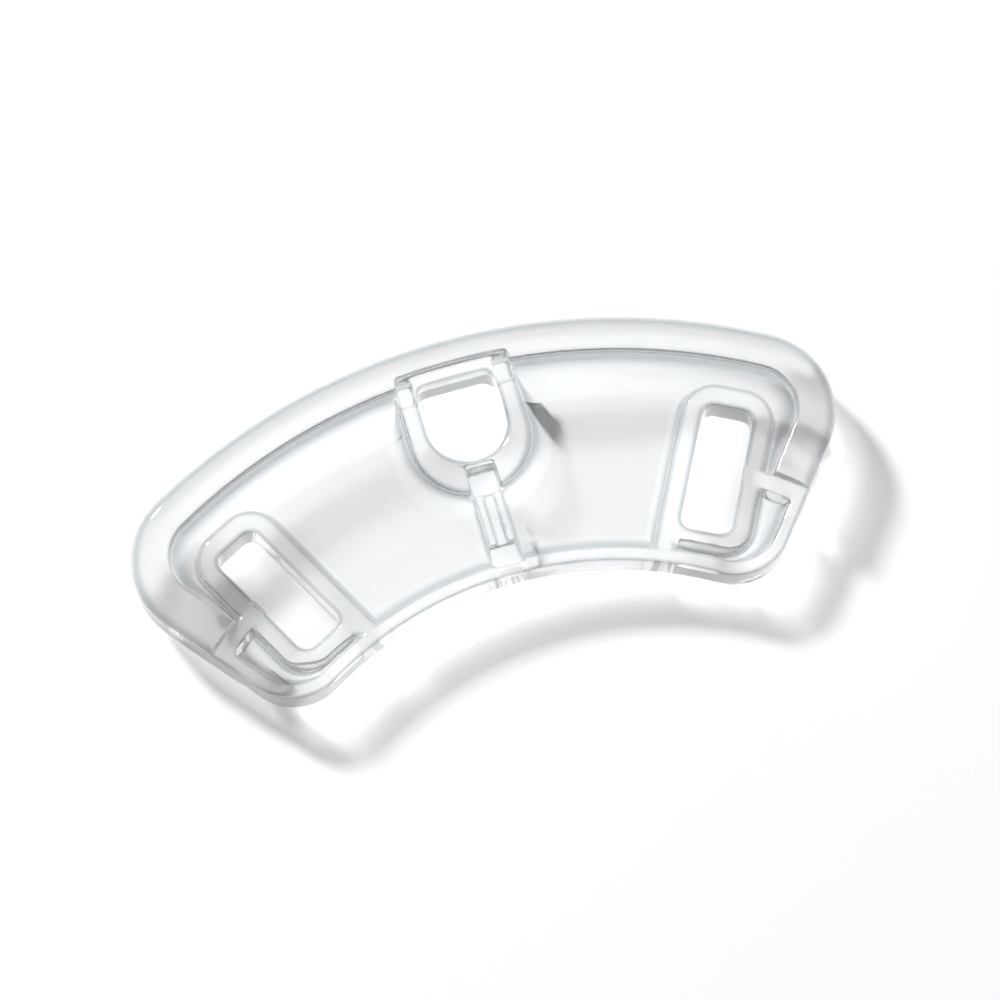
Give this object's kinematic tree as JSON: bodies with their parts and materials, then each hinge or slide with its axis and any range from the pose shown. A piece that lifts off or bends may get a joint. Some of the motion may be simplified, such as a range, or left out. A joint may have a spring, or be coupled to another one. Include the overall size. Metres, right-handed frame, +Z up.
{
  "type": "cheek retractor",
  "caption": "Clear arc-shaped plastic dental retractor with a rounded rim, thin web panes, a centre eyelet on a rib and a framed slot near each end.",
  "frame": {"origin": "on the flat underside, under the middle of the bounding box", "axes": "+X along the length, +Y from the short inner arc towards the long outer arc, +Z up out of the open side of the rim"},
  "size_m": [0.0626, 0.0278, 0.0052],
  "materials": {
    "clear_polished": "clear polycarbonate-like moulding, polished, faint grey-green tint",
    "clear_web": "the same clear plastic in a thin flat web, very slightly satin"
  },
  "bodies": {
    "root": {"outer_rim": "clear_polished", "inner_rim": "clear_polished", "centre_eyelet": "clear_polished", "centre_rib": "clear_polished", "left_window_frame": "clear_polished", "right_window_frame": "clear_polished", "left_end_gusset": "clear_polished", "right_end_gusset": "clear_polished", "left_corner_pocket": "clear_polished", "right_corner_pocket": "clear_polished", "left_pane": "clear_web", "right_pane": "clear_web"}
  },
  "joints": []
}
